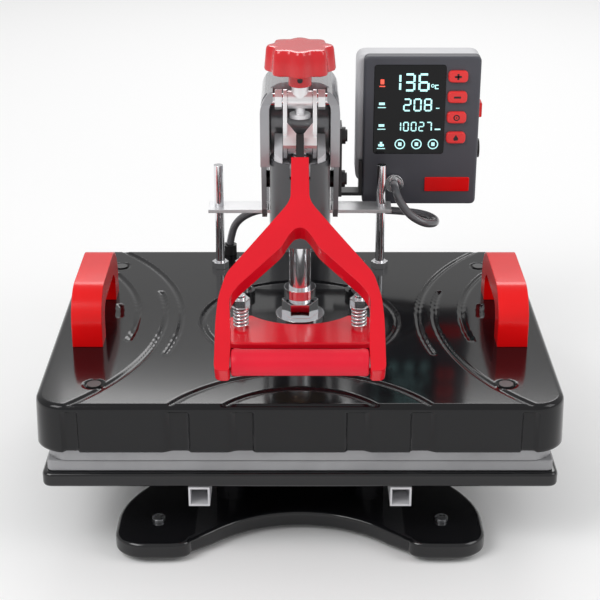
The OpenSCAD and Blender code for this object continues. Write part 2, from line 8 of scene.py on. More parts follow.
import bmesh
import bpy
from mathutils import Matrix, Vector


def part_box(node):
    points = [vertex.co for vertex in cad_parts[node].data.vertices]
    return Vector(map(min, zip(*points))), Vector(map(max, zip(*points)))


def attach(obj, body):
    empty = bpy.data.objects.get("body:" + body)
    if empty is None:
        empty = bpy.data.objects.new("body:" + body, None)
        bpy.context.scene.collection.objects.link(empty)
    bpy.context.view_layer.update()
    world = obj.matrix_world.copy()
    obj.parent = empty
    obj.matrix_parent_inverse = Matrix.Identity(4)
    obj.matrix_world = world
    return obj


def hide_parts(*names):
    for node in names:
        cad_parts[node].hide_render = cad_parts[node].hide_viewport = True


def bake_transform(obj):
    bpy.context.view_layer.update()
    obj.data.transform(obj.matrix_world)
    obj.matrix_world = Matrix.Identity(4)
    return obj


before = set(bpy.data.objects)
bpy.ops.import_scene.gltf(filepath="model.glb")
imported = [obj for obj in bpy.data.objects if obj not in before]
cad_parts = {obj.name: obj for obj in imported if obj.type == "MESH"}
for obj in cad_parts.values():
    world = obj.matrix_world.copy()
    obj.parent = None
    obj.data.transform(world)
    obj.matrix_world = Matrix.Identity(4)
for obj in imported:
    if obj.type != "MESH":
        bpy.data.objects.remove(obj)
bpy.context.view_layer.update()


def mm(value):
    return value / 1000.0


def to_m(points):
    return [tuple(mm(c) for c in p) for p in points]


# ---------------------------------------------------------------- camera

COVER_LO, COVER_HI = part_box("heater_cover")
COVER_TOP = COVER_HI.z
CAMERA_BACK = 0.950  # ahead of the cover's front edge
CAMERA_RISE = 0.504  # above the cover's top
CAMERA_PITCH = 23.8  # degrees down
CAMERA_LENS = 88.2

camera_data = bpy.data.cameras.new("camera")
camera_data.lens = CAMERA_LENS
camera_data.sensor_width = 36.0
camera = bpy.data.objects.new("camera", camera_data)
camera.location = (0.0, COVER_LO.y - CAMERA_BACK, COVER_TOP + CAMERA_RISE)
camera.rotation_euler = (math.radians(90.0 - CAMERA_PITCH), 0.0, 0.0)
bpy.context.scene.collection.objects.link(camera)
bpy.context.scene.camera = camera

# ------------------------------------------------------------- materials


class Nodes:
    """Short calls for a material's node tree."""

    def __init__(self, name):
        self.material = bpy.data.materials.new(name)
        self.material.use_nodes = True
        self.tree = self.material.node_tree
        self.shader = self.tree.nodes["Principled BSDF"]

    def add(self, kind, **values):
        node = self.tree.nodes.new(kind)
        for key, value in values.items():
            if key in node.inputs:
                node.inputs[key].default_value = value
            else:
                setattr(node, key, value)
        return node

    def link(self, source, target):
        self.tree.links.new(source, target)

    def ramp(self, source, low, high, start=0.3, end=0.7):
        ramp = self.add("ShaderNodeValToRGB")
        ramp.color_ramp.elements[0].position = start
        ramp.color_ramp.elements[1].position = end
        ramp.color_ramp.elements[0].color = (*low, 1.0)
        ramp.color_ramp.elements[1].color = (*high, 1.0)
        self.link(source, ramp.inputs["Fac"])
        return ramp.outputs["Color"]


def finish_of(name, color, rough, metallic=0.0, coat=0.0, grain=400.0,
              bump=0.02, vary=0.12, rough_vary=0.05, brushed=None,
              edge=0.0006, specular=0.5):
    """A surface with mottled colour, uneven gloss, fine bump and soft edges.

    grain is the fine noise's scale, and brushed stretches it: a scale for
    each axis. edge is the radius of the softened edges, in metres.
    """
    n = Nodes(name)
    shader = n.shader
    shader.inputs["Metallic"].default_value = metallic
    shader.inputs["Coat Weight"].default_value = coat
    shader.inputs["Coat Roughness"].default_value = 0.06
    shader.inputs["Specular IOR Level"].default_value = specular
    coords = n.add("ShaderNodeTexCoord")
    mapping = n.add("ShaderNodeMapping")
    mapping.inputs["Scale"].default_value = brushed or (1.0, 1.0, 1.0)
    n.link(coords.outputs["Object"], mapping.inputs["Vector"])
    cloud = n.add("ShaderNodeTexNoise", Scale=22.0, Detail=4.0)
    n.link(coords.outputs["Object"], cloud.inputs["Vector"])
    fine = n.add("ShaderNodeTexNoise", Scale=grain, Detail=3.0)
    n.link(mapping.outputs["Vector"], fine.inputs["Vector"])
    dark = tuple(c * (1.0 - vary) for c in color)
    light = tuple(min(1.0, c * (1.0 + vary)) for c in color)
    n.link(n.ramp(cloud.outputs["Fac"], dark, light), shader.inputs["Base Color"])
    gloss = n.add("ShaderNodeMapRange")
    gloss.inputs["To Min"].default_value = max(0.02, rough - rough_vary)
    gloss.inputs["To Max"].default_value = rough + rough_vary
    n.link(fine.outputs["Fac"], gloss.inputs["Value"])
    n.link(gloss.outputs["Result"], shader.inputs["Roughness"])
    edges = n.add("ShaderNodeBevel", Radius=edge)
    edges.samples = 4
    bumps = n.add("ShaderNodeBump", Strength=bump, Distance=0.0004)
    n.link(fine.outputs["Fac"], bumps.inputs["Height"])
    n.link(edges.outputs["Normal"], bumps.inputs["Normal"])
    n.link(bumps.outputs["Normal"], shader.inputs["Normal"])
    return n.material


def glow(name, color, strength):
    """A lit display segment, its brightness varying a little at random."""
    n = Nodes(name)
    coords = n.add("ShaderNodeTexCoord")
    noise = n.add("ShaderNodeTexNoise", Scale=90.0, Detail=1.0)
    n.link(coords.outputs["Object"], noise.inputs["Vector"])
    dim = tuple(c * 0.8 for c in color)
    colour = n.ramp(noise.outputs["Fac"], dim, color)
    n.link(colour, n.shader.inputs["Base Color"])
    n.link(colour, n.shader.inputs["Emission Color"])
    n.shader.inputs["Emission Strength"].default_value = strength
    n.shader.inputs["Roughness"].default_value = 0.4
    return n.material


GLOSS_BLACK = finish_of("gloss_black", (0.006, 0.006, 0.007), 0.10, coat=0.25,
                        grain=900.0, bump=0.006, rough_vary=0.03,
                        specular=0.4)
COVER_BLACK = finish_of("cover_black", (0.004, 0.004, 0.005), 0.12, coat=0.1,
                        grain=700.0, bump=0.01, rough_vary=0.03,
                        specular=0.32)
SATIN_BLACK = finish_of("satin_black", (0.012, 0.012, 0.013), 0.38,
                        grain=600.0, bump=0.06)
CHROME = finish_of("chrome", (0.80, 0.80, 0.82), 0.10, metallic=1.0,
                   grain=500.0, bump=0.01, vary=0.04, rough_vary=0.03)
BRIGHT = finish_of("bright_zinc", (0.88, 0.88, 0.89), 0.28, metallic=0.6,
                   grain=400.0, bump=0.004, vary=0.03, rough_vary=0.01)
STEEL = finish_of("zinc_steel", (0.55, 0.56, 0.58), 0.28, metallic=1.0,
                  grain=300.0, bump=0.05, brushed=(1.0, 1.0, 0.15))
ALUMINIUM = finish_of("machined_aluminium", (0.34, 0.34, 0.35), 0.50,
                      metallic=0.5, grain=260.0, bump=0.04,
                      brushed=(0.06, 0.06, 1.0))
GREY_METAL = finish_of("grey_enamel", (0.34, 0.345, 0.36), 0.22, coat=0.6,
                       metallic=0.35, grain=500.0, bump=0.03, vary=0.06)
TUBE_GREY = finish_of("tube_grey", (0.055, 0.057, 0.062), 0.34, coat=0.2,
                      grain=500.0, bump=0.03)
CAP_GREY = finish_of("cap_grey", (0.60, 0.60, 0.62), 0.35, grain=400.0,
                     bump=0.03)
BRONZE = finish_of("bronze", (0.50, 0.33, 0.14), 0.35, metallic=1.0)
SLATE = finish_of("slate_plastic", (0.062, 0.064, 0.078), 0.42, grain=1600.0,
                  bump=0.18, vary=0.05, edge=0.0012)
SCREEN = finish_of("screen_glass", (0.004, 0.004, 0.005), 0.10, coat=0.1,
                   grain=300.0, bump=0.0, rough_vary=0.02, specular=0.2)
BUTTON_RED = finish_of("button_red", (0.84, 0.03, 0.03), 0.30, grain=900.0,
                       bump=0.03, vary=0.05, edge=0.001)
BACK_SLATE = finish_of("back_slate", (0.58, 0.58, 0.60), 0.40, grain=1600.0,
                       bump=0.18, vary=0.05, edge=0.0012)
BOARD = finish_of("circuit_board", (0.01, 0.12, 0.05), 0.4, grain=200.0)
RED_PLASTIC = finish_of("red_plastic", (0.78, 0.002, 0.003), 0.24, coat=0.12,
                        grain=700.0, bump=0.02, vary=0.06, edge=0.001,
                        specular=0.3)
KNOB_RED = finish_of("knob_red", (0.62, 0.006, 0.012), 0.20, coat=0.3,
                     grain=700.0, bump=0.02, vary=0.06, edge=0.0006)
RED_PAINT = finish_of("red_enamel", (0.72, 0.002, 0.014), 0.24, coat=0.2,
                      grain=450.0, bump=0.04, vary=0.05, edge=0.001,
                      specular=0.28)
RED_GRIP = finish_of("red_grip", (0.72, 0.008, 0.030), 0.42, grain=900.0,
                     bump=0.15, vary=0.06, specular=0.3)
SILICONE = finish_of("silicone", (0.30, 0.30, 0.31), 0.6, grain=800.0,
                     bump=0.10, specular=0.3)
RUBBER = finish_of("rubber", (0.018, 0.018, 0.019), 0.7, grain=700.0, bump=0.2)
BOARD_FIBRE = finish_of("fibre_board", (0.55, 0.50, 0.40), 0.8, grain=300.0,
                        bump=0.3)
SHEATH = finish_of("cable_sheath", (0.13, 0.13, 0.14), 0.24, coat=0.6,
                   grain=900.0, bump=0.08)
CYAN = glow("segment_cyan", (0.48, 0.86, 0.86), 1.0)
GLOW_RED = glow("segment_red", (0.9, 0.10, 0.06), 1.0)

CAD_FINISHES = {
    BRIGHT: ["guide_bar", "lever_fork", "pivot_block", "pivot_nuts"],
    STEEL: ["foot_screws", "swing_post", "post_bolts",
            "handle_screws", "clevis_pin", "grip_rod", "toggle_link",
            "crank_pin"],
    GLOSS_BLACK: ["tray_posts", "pressure_plate"],
    RUBBER: ["rubber_feet"],
    GREY_METAL: ["column_sleeve", "head_hood", "side_plates"],
    TUBE_GREY: ["guide_tube"],
    CAP_GREY: ["tube_cap", "tray_rails"],
    BRONZE: ["shaft_bush"],
    CHROME: ["pivot_pin", "cable_gland", "spring_bolts", "press_shaft", "shaft_nut",
             "guide_rods", "guide_rod_nuts"],
    SATIN_BLACK: ["frame_bolts", "box_bracket", "power_inlet", "cover_screws",
                  "lead_strain_relief", "lever_tang", "adjusting_screw"],
    BOARD: ["circuit_board"],
    BOARD_FIBRE: ["insulation_board"],
    ALUMINIUM: ["heating_plate"],
    RED_PLASTIC: ["power_switch"],
}
for finish, node_names in CAD_FINISHES.items():
    for node_name in node_names:
        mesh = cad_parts[node_name].data
        mesh.materials.clear()
        mesh.materials.append(finish)

# --------------------------------------------------------- mesh building


def face_outward(mesh):
    """Turns the faces of every closed shell so that they point out of it."""
    shell = bmesh.new()
    shell.from_mesh(mesh)
    bmesh.ops.recalc_face_normals(shell, faces=shell.faces)
    shell.to_mesh(mesh)
    shell.free()


def add_mesh(name, verts, faces, finish, body, smooth_angle=40.0):
    mesh = bpy.data.meshes.new(name)
    mesh.from_pydata(verts, [], faces)
    mesh.validate()
    face_outward(mesh)
    mesh.shade_smooth()
    mesh.set_sharp_from_angle(angle=math.radians(smooth_angle))
    mesh.materials.append(finish)
    piece = bpy.data.objects.new(name, mesh)
    bpy.context.scene.collection.objects.link(piece)
    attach(piece, body)
    return piece


def bevel(piece, width, segments=3, angle=35.0):
    modifier = piece.modifiers.new("bevel", "BEVEL")
    modifier.width = width
    modifier.segments = segments
    modifier.limit_method = "ANGLE"
    modifier.angle_limit = math.radians(angle)
    modifier.harden_normals = True
    piece.data.shade_smooth()
    return piece


def extruded(outline, low, high, place):
    """Verts and faces of an outline drawn out from low to high.

    place(u, v, w) puts the outline's point (u, v) at depth w.
    """
    count = len(outline)
    verts = [place(u, v, low) for u, v in outline]
    verts += [place(u, v, high) for u, v in outline]
    faces = [tuple(range(count))[::-1], tuple(range(count, 2 * count))]
    faces += [(i, (i + 1) % count, count + (i + 1) % count, count + i)
              for i in range(count)]
    return verts, faces


def flat(u, v, w):
    return (u, v, w)


def upright(u, v, w):
    return (u, w, v)


def sideways(u, v, w):
    return (w, u, v)


def arc(cx, cy, r, start, end, steps=10):
    return [(cx + r * math.cos(math.radians(start + (end - start) * i / steps)),
             cy + r * math.sin(math.radians(start + (end - start) * i / steps)))
            for i in range(steps + 1)]


def rounded(points, radii, steps=6):
    """The outline with each corner cut by an arc-like curve."""
    out = []
    count = len(points)
    for i, point in enumerate(points):
        r = radii[i] if isinstance(radii, (list, tuple)) else radii
        p = Vector(point)
        before = Vector(points[i - 1]) - p
        after = Vector(points[(i + 1) % count]) - p
        r = min(r, before.length * 0.48, after.length * 0.48)
        a = p + before.normalized() * r
        b = p + after.normalized() * r
        for k in range(steps + 1):
            t = k / steps
            q = a * (1 - t) ** 2 + p * 2 * t * (1 - t) + b * t * t
            out.append((q.x, q.y))
    return out


def mirrored(half):
    """Closes the right half of an outline, drawn from bottom to top."""
    return half + [(-u, v) for u, v in reversed(half)]


def turned(profile, sides, place, lobes=0, depth=0.0):
    """Verts and faces of a profile [(radius, height)] turned about an axis."""
    verts = []
    for radius, height in profile:
        for i in range(sides):
            angle = 2 * math.pi * i / sides
            wave = depth * (math.cos(lobes * angle) - 1.0) if lobes else 0.0
            r = max(radius + wave * min(1.0, radius / mm(12)), 0.0)
            verts.append(place(r * math.cos(angle), r * math.sin(angle), height))
    rows = len(profile)
    faces = [(j * sides + i, j * sides + (i + 1) % sides,
              (j + 1) * sides + (i + 1) % sides, (j + 1) * sides + i)
             for j in range(rows - 1) for i in range(sides)]
    faces.append(tuple(range(sides))[::-1])
    faces.append(tuple((rows - 1) * sides + i for i in range(sides)))
    return verts, faces


def joined(parts):
    verts, faces = [], []
    for part_verts, part_faces in parts:
        start = len(verts)
        verts += part_verts
        faces += [tuple(i + start for i in f) for f in part_faces]
    return verts, faces


def tube_curve(name, routes, radius, finish, body, kind="POLY"):
    data = bpy.data.curves.new(name, "CURVE")
    data.dimensions = "3D"
    data.bevel_depth = radius
    data.bevel_resolution = 5
    data.use_fill_caps = True
    for route in routes:
        spline = data.splines.new(kind)
        spline.points.add(len(route) - 1)
        for point, co in zip(spline.points, route):
            point.co = (*co, 1.0)
    data.materials.append(finish)
    piece = bpy.data.objects.new(name, data)
    bpy.context.scene.collection.objects.link(piece)
    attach(piece, body)
    return piece


# ------------------------------------------------------------------ base

BASE_LO, BASE_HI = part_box("base_plate")


def base_plate():
    half = [(mm(x), mm(y)) for x, y in arc(0, -208.7, 96.7, 90, 46, 16)]
    half += rounded([(mm(84), mm(-155)), (mm(95), BASE_LO.y),
                     (mm(127), BASE_LO.y), (BASE_HI.x, mm(-147)),
                     (BASE_HI.x, mm(-105)), (mm(126), mm(-72)),
                     (mm(70), mm(-20)), (mm(60), mm(60)),
                     (mm(78), mm(150)), (mm(78), BASE_HI.y), (0, BASE_HI.y)],
                    [mm(r) for r in (8, 10, 14, 14, 16, 24, 40, 40, 30, 10, 0)])
    outline = mirrored([p for p in half if p[0] > mm(0.05)])
    verts, faces = extruded(outline, BASE_LO.z, BASE_HI.z, flat)
    piece = add_mesh("base_pressing", verts, faces, GLOSS_BLACK, "base")
    bevel(piece, mm(3.5), 5, 50)
    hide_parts("base_plate")


def soft_box(name, node, finish, body, corner, edge):
    """A plate with round corners and soft edges in place of a CAD node."""
    lo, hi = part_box(node)
    outline = rounded([(lo.x, lo.y), (hi.x, lo.y), (hi.x, hi.y), (lo.x, hi.y)],
                      corner, 8)
    verts, faces = extruded(outline, lo.z, hi.z, flat)
    piece = add_mesh(name, verts, faces, finish, body)
    bevel(piece, edge, 4, 50)
    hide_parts(node)
    return piece


base_plate()
soft_box("tray_plate", "lower_tray", GLOSS_BLACK, "base",
         mm(8), mm(3))
soft_box("pad_sheet", "silicone_pad", SILICONE, "base",
         mm(5), mm(1.5))

# ----------------------------------------------------------------- cover

GROOVE_WIDTH = mm(3.6)
GROOVE_DEPTH = mm(1.3)
GROOVE_FLANK = mm(1.3)  # width of each sloping side
GROOVE_END = mm(6)  # length over which an end fades out
SCREW_WELL_R = mm(7)
SCREW_WELL_DEPTH = mm(2)
WELL_FLANK = mm(1.2)
GRID_STEP = mm(1.3)
COVER_CORNER = mm(24)
COVER_EDGE = mm(4)
SIDE_ARC_X = mm(-323)
SCREW_SPOTS = [(mm(160), mm(115)), (mm(155), mm(-117))]


def smooth(t):
    t = min(1.0, max(0.0, t))
    return t * t * (3 - 2 * t)


def groove_at(x, y, cx, cy, r, y_low, y_high):
    """Depth of one ring groove, which fades out at its ends."""
    off = abs(math.hypot(x - cx, y - cy) - mm(r))
    across = smooth((GROOVE_WIDTH / 2 - off) / GROOVE_FLANK + 0.5)
    along = (smooth((y - mm(y_low)) / GROOVE_END)
             * smooth((mm(y_high) - y) / GROOVE_END))
    return GROOVE_DEPTH * across * along


def top_depth(x, y):
    """How far the cover's top lies below its highest level."""
    left = -abs(x)
    depth = max(
        groove_at(left, y, SIDE_ARC_X, mm(-7), 225.7, -68, 170),
        groove_at(left, y, SIDE_ARC_X, mm(-3), 212.0, -170, 60),
        groove_at(left, y, SIDE_ARC_X, mm(-3), 189.3, -44, 101),
        groove_at(left, y, SIDE_ARC_X, mm(-3), 174.0, 2, 33),
        groove_at(x, y, 0.0, mm(-212), 113.7, -170, -80),
        groove_at(x, y, 0.0, mm(-195), 70.5, -170, -100),
        groove_at(x, y, 0.0, 0.0, 80.0, -90, 90))
    for sx, sy in SCREW_SPOTS:
        reach = math.hypot(abs(x) - sx, y - sy)
        well = smooth((SCREW_WELL_R - reach) / WELL_FLANK + 0.5)
        depth = max(depth, SCREW_WELL_DEPTH * well)
    return depth


# Recesses of the walls: (start, end of the deep part, end of the slope)
FRONT_BAYS = [(34, 46, 54), (82, 93.5, 102), (164, 179, 181)]
SIDE_BAYS = [(30, 44, 50), (92, 108, 114)]
BAY_DEPTH = mm(2.8)
BAY_FLANK = mm(1.2)


def bay_depth(place, bays):
    place = abs(place)
    for start, end, slope_end in bays:
        rise = smooth((place - mm(start)) / BAY_FLANK + 0.5)
        fall = smooth((mm(slope_end) - place) / mm(slope_end - end))
        if rise > 0 and place < mm(slope_end):
            return BAY_DEPTH * min(rise, fall)
    return 0.0


def heater_cover():
    """Top grid, corner fans, rounded edge and panelled walls in one mesh."""
    half_x, half_y = COVER_HI.x, COVER_HI.y
    inner_x, inner_y = half_x - COVER_CORNER, half_y - COVER_CORNER
    nx, ny = int(2 * inner_x / GRID_STEP), int(2 * inner_y / GRID_STEP)
    xs = [-inner_x + 2 * inner_x * i / nx for i in range(nx + 1)]
    ys = [-inner_y + 2 * inner_y * i / ny for i in range(ny + 1)]
    verts, faces, known = [], [], {}

    def vert(x, y, z):
        key = (round(x, 6), round(y, 6), round(z, 6))
        if key not in known:
            known[key] = len(verts)
            verts.append((x, y, z))
        return known[key]

    def face(*corners):
        kept = []
        for c in corners:
            if c not in kept:
                kept.append(c)
        if len(kept) > 2:
            faces.append(tuple(kept))

    grid = [[vert(x, y, COVER_TOP - top_depth(x, y)) for x in xs] for y in ys]
    for j in range(ny):
        for i in range(nx):
            face(grid[j][i], grid[j][i + 1], grid[j + 1][i + 1], grid[j + 1][i])

    # Round the rim: points of the inner rectangle with outward directions
    fan = 14

    def corner(x, y, start):
        angles = [math.radians(start + 90 * k / fan) for k in range(1, fan)]
        return [(x, y, math.cos(a), math.sin(a)) for a in angles]

    rim = [(x, -inner_y, 0.0, -1.0) for x in xs]
    rim += corner(inner_x, -inner_y, -90)
    rim += [(inner_x, y, 1.0, 0.0) for y in ys]
    rim += corner(inner_x, inner_y, 0)
    rim += [(x, inner_y, 0.0, 1.0) for x in reversed(xs)]
    rim += corner(-inner_x, inner_y, 90)
    rim += [(-inner_x, y, -1.0, 0.0) for y in reversed(ys)]
    rim += corner(-inner_x, -inner_y, 180)

    flat_rings = 15
    # (reach from the inner rectangle, drop below the top, share of the bay)
    rows = [((COVER_CORNER - COVER_EDGE) * k / flat_rings, 0.0, 0.0)
            for k in range(flat_rings + 1)]
    for k in range(1, 6):
        a = math.radians(90 * k / 5)
        rows.append((COVER_CORNER - COVER_EDGE + COVER_EDGE * math.sin(a) - mm(1),
                     COVER_EDGE * (1 - math.cos(a)), 0.0))
    height = COVER_HI.z - COVER_LO.z
    inside = COVER_CORNER - mm(4.6)
    rows += [(COVER_CORNER - mm(0.9), mm(5.2), 0.0),
             (COVER_CORNER - mm(0.9), mm(6.0), 0.35),
             (COVER_CORNER - mm(0.8), mm(7.0), 1.0),
             (COVER_CORNER, height - mm(3), 1.0),
             (COVER_CORNER, height - mm(1), 1.0),
             (COVER_CORNER - mm(1), height, 1.0),
             (inside, height, 1.0), (inside, mm(6), 0.0)]

    def rim_vert(spot, row):
        bx, by, ux, uy = spot
        reach, drop, share = row
        bay = 0.0
        if share:
            if abs(uy) == 1.0:
                bay = bay_depth(bx, FRONT_BAYS)
            elif abs(ux) == 1.0:
                bay = bay_depth(by, SIDE_BAYS)
        x = bx + ux * (reach - bay * share)
        y = by + uy * (reach - bay * share)
        depth = top_depth(x, y) if drop == 0.0 else drop
        if 0.0 < drop < COVER_EDGE:
            depth = max(drop, top_depth(x, y) * (1 - drop / COVER_EDGE))
        return vert(x, y, COVER_TOP - depth)

    count = len(rim)
    for near, far in zip(rows, rows[1:]):
        for i in range(count):
            a, b = rim[i], rim[(i + 1) % count]
            face(rim_vert(a, near), rim_vert(a, far),
                 rim_vert(b, far), rim_vert(b, near))
    # Underside of the roof, so that the shell is closed
    face(*[rim_vert(s, rows[-1]) for s in reversed(rim)])
    piece = add_mesh("heater_shell", verts, faces, COVER_BLACK, "heater", 50.0)
    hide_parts("heater_cover")


heater_cover()

# -------------------------------------------------------------- swing arm


def arm_housing():
    """The arm behind the guide tube, with round corners and soft edges."""
    lo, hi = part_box("arm_shell")
    front = mm(24)
    points = [(front, mm(212)), (front, mm(296)), (mm(38), hi.z),
              (mm(84), hi.z), (mm(180), mm(296)), (mm(226), mm(270)),
              (hi.y, mm(246)), (hi.y, lo.z), (mm(170), lo.z),
              (mm(140), mm(206)), (mm(70), mm(206))]
    radii = [mm(r) for r in (1, 10, 8, 30, 40, 26, 20, 5, 16, 16, 2)]
    verts, faces = extruded(rounded(points, radii, 8), lo.x, hi.x, sideways)
    piece = add_mesh("arm_housing", verts, faces, GREY_METAL, "arm")
    bevel(piece, mm(4), 4, 50)
    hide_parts("arm_shell")


arm_housing()

# ---------------------------------------------------------- side handles


def side_handles():
    lo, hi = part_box("side_handles")
    width = mm(24)
    top = hi.z
    outline = [(lo.y, COVER_TOP), (lo.y, top - mm(16)), (mm(-36), top),
               (mm(44), top), (hi.y, top - mm(16)), (hi.y, COVER_TOP),
               (mm(40), COVER_TOP), (mm(40), top - mm(25)),
               (mm(32), top - mm(17)), (mm(-25), top - mm(17)),
               (mm(-33), top - mm(25)), (mm(-33), COVER_TOP)]
    radii = [mm(r) for r in (0.5, 14, 16, 16, 14, 0.5, 0.5, 5, 5, 5, 5, 0.5)]
    outline = rounded(outline, radii)
    for side, name in ((-1, "side_handle_left"), (1, "side_handle_right")):
        inner = side * (hi.x - width)
        outer = side * hi.x
        low, high = min(inner, outer), max(inner, outer)
        verts, faces = extruded(outline, low, high, sideways)
        piece = add_mesh(name, verts, faces, RED_PLASTIC, "heater")
        bevel(piece, mm(7.2), 7, 60)
        if side < 0:
            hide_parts("side_handles")


side_handles()

# ----------------------------------------------------- yoke and springs


def spring_yoke():
    lo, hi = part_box("spring_yoke")
    outline = arc(-50, -24, 10, 180, 90, 6) + arc(0, 22, 52, 222, 318, 20)
    outline += arc(50, -24, 10, 90, 0, 6) + arc(48, -54, 12, 0, -90, 8)
    outline += arc(-48, -54, 12, 270, 180, 8)
    outline = [(mm(x), mm(y)) for x, y in reversed(outline)]
    verts, faces = extruded(outline, lo.z, hi.z, flat)
    piece = add_mesh("spring_crescent", verts, faces, RED_PAINT, "heater")
    bevel(piece, mm(1.8), 4, 50)
    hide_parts("spring_yoke")


def springs():
    lo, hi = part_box("springs")
    wire = mm(1.1)
    coil_r = mm(5.3)
    turns, per_turn = 5, 24
    spots = [(x, y) for x in (mm(-47), mm(47)) for y in (mm(-38), mm(40))]
    routes = []
    for x, y in spots:
        routes.append([
            (x + coil_r * math.cos(2 * math.pi * i / per_turn),
             y + coil_r * math.sin(2 * math.pi * i / per_turn),
             lo.z + wire + (hi.z - lo.z - 2 * wire) * i / (turns * per_turn))
            for i in range(turns * per_turn + 1)])
    piece = tube_curve("spring_coils", routes, wire, CHROME, "heater")
    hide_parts("springs")


spring_yoke()
springs()

# ----------------------------------------------------------------- lever

LEVER_SLOPE = math.radians(35.5)
STEM_TOP = Vector((0.0, mm(-36), mm(286)))
ALONG = Vector((0.0, -math.cos(LEVER_SLOPE), -math.sin(LEVER_SLOPE)))
ACROSS = Vector((0.0, -math.sin(LEVER_SLOPE), math.cos(LEVER_SLOPE)))
GRIP_U = mm(178)


def in_lever_plane(u, v, w):
    """Across the lever u, along it v and out of its plane w."""
    return tuple(STEM_TOP + Vector((u, 0, 0)) + ALONG * v + ACROSS * w)


def lever_frame():
    outer = [(6.6, 5), (7, 43.5), (9.8, 50), (53, 109), (56, 120),
             (58.3, 129.4), (59.7, 147), (59.7, 188.6), (49, 188.6)]
    inner = [(48.4, 166), (50.4, 129.4), (44.6, 120), (13, 86.5),
             (8.5, 77), (4, 71), (0, 70)]
    radii = [1.5, 14, 14, 14, 8, 8, 20, 7, 3, 20, 14, 8, 16, 8, 5, 0.1]
    half = rounded([(mm(x), mm(v)) for x, v in outer + inner],
                   [mm(r) for r in radii], 7)
    half = [p for p in half if p[0] > mm(0.05)]
    outline = half + [(0.0, mm(70))] + [(-u, v) for u, v in reversed(half)]
    thick = mm(7.5)
    verts, faces = extruded(outline, -thick, thick, in_lever_plane)
    piece = add_mesh("lever_yoke", verts, faces, RED_PAINT, "lever")
    bevel(piece, mm(2.6), 4, 50)
    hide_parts("lever_frame")


def lever_grip():
    half_len = mm(48.3)
    radius = mm(9.75)
    profile = [(mm(7.6), -half_len), (mm(9.2), -half_len + mm(0.8)),
               (radius, -half_len + mm(2.4)), (radius, -half_len + mm(5)),
               (mm(9.45), -half_len + mm(7))]
    profile += [(mm(9.4), mm(x)) for x in range(-38, 39, 4)]
    profile += [(r, -x) for r, x in reversed(profile[:5])]
    verts, faces = turned(
        profile, 48, lambda a, b, h: in_lever_plane(h, GRIP_U + a, b))
    piece = add_mesh("grip_sleeve", verts, faces, RED_GRIP, "lever")
    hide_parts("lever_grip")


lever_frame()
lever_grip()

# ------------------------------------------------------------------ knob


def pressure_knob():
    lo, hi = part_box("pressure_knob")
    knob_low = hi.z - mm(20)
    r = hi.x
    profile = [(mm(5), knob_low + mm(1.4)), (r - mm(8), knob_low + mm(1.4)),
               (r - mm(2.6), knob_low), (r - mm(0.6), knob_low + mm(0.8)),
               (r, knob_low + mm(2.4)), (r - mm(1.4), hi.z - mm(3.2)),
               (r - mm(1.9), hi.z - mm(1.4)), (r - mm(2.8), hi.z - mm(0.3)),
               (r - mm(4), hi.z), (r - mm(10), hi.z), (mm(6), hi.z - mm(0.3))]
    knob = turned(profile, 192, flat, lobes=8, depth=mm(1.9))
    hub_r = mm(9)
    hub = turned([(hub_r - mm(0.8), lo.z), (hub_r, lo.z + mm(0.8)),
                  (hub_r, knob_low + mm(1)), (hub_r + mm(1), knob_low + mm(2))],
                 48, flat)
    verts, faces = joined([knob, hub])
    piece = add_mesh("knob_star", verts, faces, KNOB_RED, "knob", 32.0)
    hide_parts("pressure_knob")
    hole = turned([(mm(2.1), mm(-0.05)), (mm(2.1), mm(0.15)),
                   (mm(1.2), mm(0.15))], 24,
                  lambda a, b, h: (a, -hub_r - h, lo.z + mm(6) + b))
    screw = add_mesh("hub_screw", *hole, SATIN_BLACK, "knob")


pressure_knob()

# ----------------------------------------------------------- control box

SCREEN_LO, SCREEN_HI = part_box("display_window")
FACE_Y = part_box("control_box_front")[0].y
BACK_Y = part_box("control_box_rear")[1].y


def plate(name, x0, x1, z0, z1, y0, y1, finish, body, corner, edge):
    """An upright block with round corners and soft edges."""
    outline = rounded([(x0, z0), (x1, z0), (x1, z1), (x0, z1)], corner, 5)
    verts, faces = extruded(outline, y0, y1, upright)
    piece = add_mesh(name, verts, faces, finish, body)
    bevel(piece, edge, 3, 50)
    return piece


FRONT_DEPTH = mm(8)  # of the dark front shell; the rest is the back shell


def box_half(name, node, y0, y1, finish, corner, edge):
    """A shell as wide and tall as its CAD node, from y0 to y1."""
    lo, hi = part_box(node)
    piece = plate(name, lo.x, hi.x, lo.z, hi.z, y0, y1, finish, "arm",
                  corner, edge)
    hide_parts(node)


def box_shells():
    """The back shell reaches forward, and the front one laps into it."""
    box_half("box_back_shell", "control_box_rear", FACE_Y + FRONT_DEPTH,
             BACK_Y, BACK_SLATE, mm(9), mm(4))
    box_half("box_front_shell", "control_box_front", FACE_Y + mm(0.6),
             FACE_Y + FRONT_DEPTH + mm(6), SLATE, mm(5), mm(2.2))


def screen():
    piece = plate("screen_glass", SCREEN_LO.x, SCREEN_HI.x, SCREEN_LO.z,
                  SCREEN_HI.z, FACE_Y + mm(0.15), FACE_Y + mm(2), SCREEN,
                  "arm", mm(3), mm(0.4))
    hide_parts("display_window")


def badge():
    lo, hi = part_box("badge")
    piece = plate("badge_plate", lo.x, hi.x, lo.z, hi.z, lo.y, hi.y,
                  RED_PLASTIC, "arm", mm(1.5), mm(0.4))
    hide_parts("badge")


def bar(cx, cz, w, h):
    """A thin upright strip on the face, centred at cx, cz."""
    outline = [(cx - w / 2, cz - h / 2), (cx + w / 2, cz - h / 2),
               (cx + w / 2, cz + h / 2), (cx - w / 2, cz + h / 2)]
    return outline


SEGMENTS = {"0": "abcdef", "1": "bc", "2": "abged", "3": "abgcd",
            "5": "afgcd", "6": "afgedc", "7": "abc", "8": "abcdefg"}


